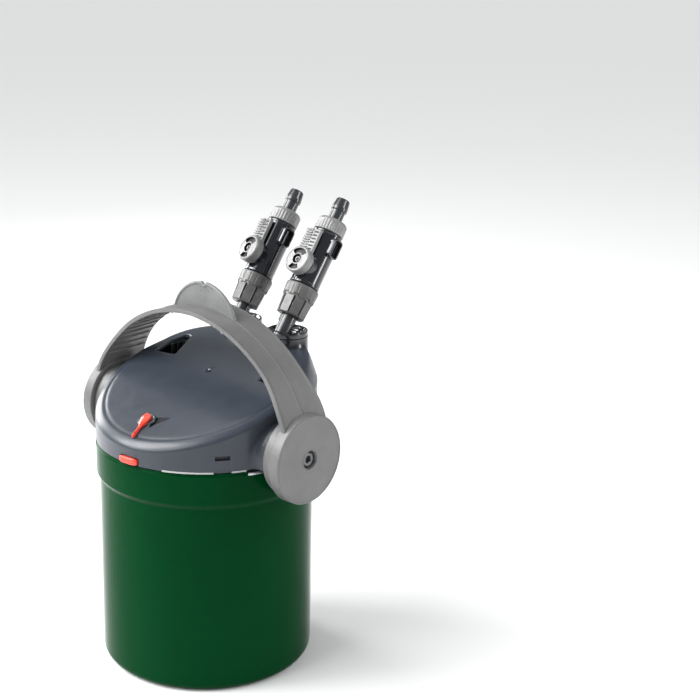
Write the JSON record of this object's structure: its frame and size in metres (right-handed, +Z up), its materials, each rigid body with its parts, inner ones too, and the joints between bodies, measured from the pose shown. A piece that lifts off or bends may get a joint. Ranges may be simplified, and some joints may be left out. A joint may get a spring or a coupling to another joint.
{
  "type": "canister filter",
  "caption": "External aquarium canister filter: green media canister, clip-on pump head with sloping lid, folding carrying handle and leaning hose taps.",
  "frame": {"origin": "centre of the canister's flat bottom face", "axes": "+Z up along the canister's axis, the lid slopes down to the front at -Y, the hose taps are at the rear (+Y), the handle pivots about X"},
  "size_m": [0.214, 0.2144, 0.3461],
  "materials": {
    "green_canister": "gloss",
    "head_plastic": "satin",
    "inner_plastic": "satin",
    "handle_plastic": "textured",
    "red_plastic": "satin",
    "tap_black": "gloss",
    "tap_grey": "satin",
    "tap_light": "satin",
    "barb_grey": "satin",
    "white_plastic": "satin",
    "seal_orange": "matte",
    "seal_black": "matte",
    "ceramic": "matte",
    "foam_blue": "open foam",
    "floss_white": "fibre fleece",
    "carbon_black": "fibre fleece",
    "steel": "brushed",
    "laminated_steel": "satin",
    "copper_winding": "enamelled",
    "magnet": "matte"
  },
  "bodies": {
    "canister": {"canister": "green_canister", "rim_clip_left": "steel", "rim_clip_right": "steel", "media_basket": "white_plastic", "ceramic_media": "ceramic", "fine_pad": "floss_white", "carbon_pad": "carbon_black", "prefilter_tray": "inner_plastic", "coarse_pad": "foam_blue", "tray_lid": "inner_plastic"},
    "handle": {"handle_strap": "handle_plastic", "hub_disc_left": "handle_plastic", "hub_disc_right": "handle_plastic"},
    "impeller": {"impeller": "white_plastic", "rotor_magnet": "magnet"},
    "red_tab": {"red_tab": "red_plastic"},
    "flow_pointer": {"flow_pointer": "red_plastic"},
    "lever_in": {"lever_in": "tap_light", "lever_screw_in": "steel", "cock_in": "white_plastic"},
    "lower_nut_in": {"lower_nut_in": "tap_grey"},
    "upper_nut_in": {"upper_nut_in": "tap_light"},
    "lever_out": {"lever_out": "tap_light", "lever_screw_out": "steel", "cock_out": "white_plastic"},
    "lower_nut_out": {"lower_nut_out": "tap_grey"},
    "upper_nut_out": {"upper_nut_out": "tap_light"},
    "head": {"head_cover": "head_plastic", "head_base": "inner_plastic", "head_seal_ring": "seal_orange", "intake_tube": "inner_plastic", "turret_in": "tap_black", "turret_out": "tap_black", "motor_housing": "inner_plastic", "stator_core": "laminated_steel", "windings": "copper_winding", "rotor_shaft": "ceramic", "bush_upper": "seal_black", "bush_lower": "seal_black", "impeller_cover": "inner_plastic", "cable_gland": "inner_plastic", "pivot_pin_left": "steel", "pivot_pin_right": "steel", "hub_screw_left": "steel", "hub_screw_right": "steel", "adapter_in": "barb_grey", "adapter_seal_in": "seal_black", "tap_body_in": "tap_black", "barb_in": "barb_grey", "barb_seal_in": "seal_black", "adapter_out": "barb_grey", "adapter_seal_out": "seal_black", "tap_body_out": "tap_black", "barb_out": "barb_grey", "barb_seal_out": "seal_black"}
  },
  "joints": [
    {"name": "head_lift", "type": "slide", "parent": "canister", "child": "head", "axis": [0, 0, 1], "range_m": [0, 0.01]},
    {"name": "handle_fold", "type": "hinge", "parent": "head", "child": "handle", "pos_m": [0, 0, 0.183], "axis": [1, 0, 0], "range_deg": [0, 100]},
    {"name": "impeller_spin", "type": "hinge", "parent": "head", "child": "impeller", "pos_m": [0, 0.005, 0.16], "axis": [0, 0, 1], "continuous": true},
    {"name": "tab_press", "type": "slide", "parent": "head", "child": "red_tab", "axis": [-0.0785, 0.9969, 0], "range_m": [0, 0.002], "stiffness_N_per_m": 150},
    {"name": "pointer_turn", "type": "hinge", "parent": "head", "child": "flow_pointer", "pos_m": [0, -0.06, 0.20181], "axis": [0, -0.3879, 0.9217], "range_deg": [0, 75]},
    {"name": "lever_in_turn", "type": "hinge", "parent": "head", "child": "lever_in", "pos_m": [-0.0246, 0.08791, 0.29336], "axis": [0.1908, 0.7942, -0.577], "range_deg": [0, 90]},
    {"name": "lower_nut_in_spin", "type": "hinge", "parent": "head", "child": "lower_nut_in", "pos_m": [-0.0246, 0.07145, 0.27071], "axis": [0, 0.5878, 0.809], "continuous": true},
    {"name": "upper_nut_in_spin", "type": "hinge", "parent": "head", "child": "upper_nut_in", "pos_m": [-0.0246, 0.10966, 0.32329], "axis": [0, 0.5878, 0.809], "continuous": true},
    {"name": "lever_out_turn", "type": "hinge", "parent": "head", "child": "lever_out", "pos_m": [0.0246, 0.08791, 0.29336], "axis": [0, 0.809, -0.5878], "range_deg": [0, 90]},
    {"name": "lower_nut_out_spin", "type": "hinge", "parent": "head", "child": "lower_nut_out", "pos_m": [0.0246, 0.07145, 0.27071], "axis": [0, 0.5878, 0.809], "continuous": true},
    {"name": "upper_nut_out_spin", "type": "hinge", "parent": "head", "child": "upper_nut_out", "pos_m": [0.0246, 0.10966, 0.32329], "axis": [0, 0.5878, 0.809], "continuous": true}
  ],
  "couplings": [
    {"joint": "head_lift", "follows": "handle_fold", "m_per_rad": 0.005729}
  ]
}
